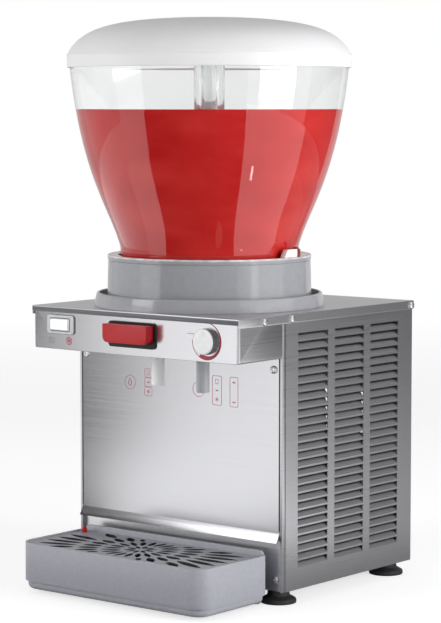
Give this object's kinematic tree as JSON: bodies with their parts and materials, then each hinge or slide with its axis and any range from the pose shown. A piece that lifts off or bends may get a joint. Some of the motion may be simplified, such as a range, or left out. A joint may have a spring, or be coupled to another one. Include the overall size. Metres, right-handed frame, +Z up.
{
  "type": "cooled drink dispenser",
  "caption": "Counter-top cooled drink dispenser: clear round bowl with a domed lid on a louvred steel cabinet, with a push tap and a drip tray.",
  "frame": {"origin": "on the table, under the middle of the whole machine", "axes": "+Z up, the tap and tray face -Y, +X to the right of a person facing the back of the machine's front, so that the switch lies at -X and the thermostat at +X"},
  "size_m": [0.3248, 0.3718, 0.6508],
  "materials": {
    "brushed_stainless": "fine straight brushed grain",
    "plain_stainless": "mill finish",
    "screw_steel": "bright",
    "black_rubber": "matt",
    "grey_plastic": "smooth moulded, soft gloss",
    "white_plastic": "smooth gloss",
    "rocker_plastic": "translucent gloss",
    "switch_plastic": "gloss",
    "red_plastic": "gloss",
    "brown_plastic": "gloss",
    "clear_plastic": "clear, polished",
    "black_plastic": "fine matt",
    "copper": "plain drawn tube",
    "black_paint": "stoved paint",
    "fin_aluminium": "plain",
    "foam": "rigid foam"
  },
  "bodies": {
    "cabinet": {"corner_posts": "brushed_stainless", "left_side_panel": "brushed_stainless", "right_side_panel": "brushed_stainless", "front_panel": "brushed_stainless", "lower_front": "brushed_stainless", "top_cover": "brushed_stainless", "console": "brushed_stainless", "base_pan": "plain_stainless", "rear_panel": "plain_stainless", "tray_arms": "plain_stainless", "evaporator": "plain_stainless", "motor_bracket": "plain_stainless", "fan_shroud": "plain_stainless", "fan_bracket": "plain_stainless", "cover_screws": "screw_steel", "front_screws": "screw_steel", "impeller_pin": "screw_steel", "tap_spring": "screw_steel", "thermostat_nut": "screw_steel", "feet": "black_rubber", "compressor_mounts": "black_rubber", "tap_ring": "black_rubber", "bowl_seal": "black_rubber", "bowl_seat": "grey_plastic", "drain_tube": "grey_plastic", "locating_blocks": "white_plastic", "pump_housing": "white_plastic", "tap_body": "white_plastic", "spout": "white_plastic", "switch_housing": "switch_plastic", "block_pins": "brown_plastic", "riser_tube": "clear_plastic", "riser_sleeve": "clear_plastic", "handle_bezel": "black_plastic", "power_inlet": "black_plastic", "terminal_box": "black_plastic", "thermostat": "black_plastic", "fan_motor": "black_plastic", "evaporator_coil": "copper", "suction_line": "copper", "filter_drier": "copper", "compressor": "black_paint", "mixer_motor": "black_paint", "condenser": "fin_aluminium", "insulation": "foam"},
    "bowl": {"bowl": "clear_plastic"},
    "lid": {"lid": "white_plastic"},
    "handle": {"push_handle": "red_plastic", "tap_plunger": "white_plastic", "plunger_rings": "black_rubber"},
    "knob": {"thermostat_knob": "white_plastic", "thermostat_shaft": "screw_steel"},
    "rocker": {"switch_rocker": "rocker_plastic"},
    "tray": {"drip_tray": "grey_plastic"},
    "grid": {"tray_grid": "grey_plastic"},
    "float": {"tray_float": "red_plastic"},
    "magnet": {"drive_magnet": "black_paint"},
    "impeller": {"impeller": "white_plastic"},
    "fan": {"fan": "black_plastic"}
  },
  "joints": [
    {"name": "bowl_lift", "type": "slide", "parent": "cabinet", "child": "bowl", "axis": [0, 0, 1], "range_m": [0, 0.12]},
    {"name": "lid_lift", "type": "slide", "parent": "bowl", "child": "lid", "axis": [0, 0, 1], "range_m": [0, 0.1]},
    {"name": "handle_push", "type": "slide", "parent": "cabinet", "child": "handle", "axis": [0, 1, 0], "range_m": [0, 0.008], "stiffness_N_per_m": 500, "springref_m": -0.006, "deforming": ["tap_spring"]},
    {"name": "knob_turn", "type": "hinge", "parent": "cabinet", "child": "knob", "pos_m": [0.106, -0.1416, 0.298], "axis": [0, -1, 0], "range_deg": [0, 270]},
    {"name": "rocker_tilt", "type": "hinge", "parent": "cabinet", "child": "rocker", "pos_m": [-0.107, -0.1376, 0.304], "axis": [0, 0, 1], "range_deg": [-8, 8]},
    {"name": "tray_slide", "type": "slide", "parent": "cabinet", "child": "tray", "axis": [0, -1, 0], "range_m": [0, 0.08]},
    {"name": "grid_lift", "type": "slide", "parent": "tray", "child": "grid", "axis": [0, 0, 1], "range_m": [0, 0.06]},
    {"name": "float_rise", "type": "slide", "parent": "tray", "child": "float", "axis": [0, 0, 1], "range_m": [0, 0.03]},
    {"name": "magnet_spin", "type": "hinge", "parent": "cabinet", "child": "magnet", "pos_m": [0, -0.0076, 0.38], "axis": [0, 0, 1], "continuous": true},
    {"name": "impeller_spin", "type": "hinge", "parent": "cabinet", "child": "impeller", "pos_m": [0, -0.0076, 0.425], "axis": [0, 0, 1], "continuous": true},
    {"name": "fan_spin", "type": "hinge", "parent": "cabinet", "child": "fan", "pos_m": [0.074, 0.0874, 0.0902], "axis": [1, 0, 0], "continuous": true}
  ],
  "couplings": [
    {"joint": "impeller_spin", "follows": "magnet_spin", "ratio": 1}
  ]
}
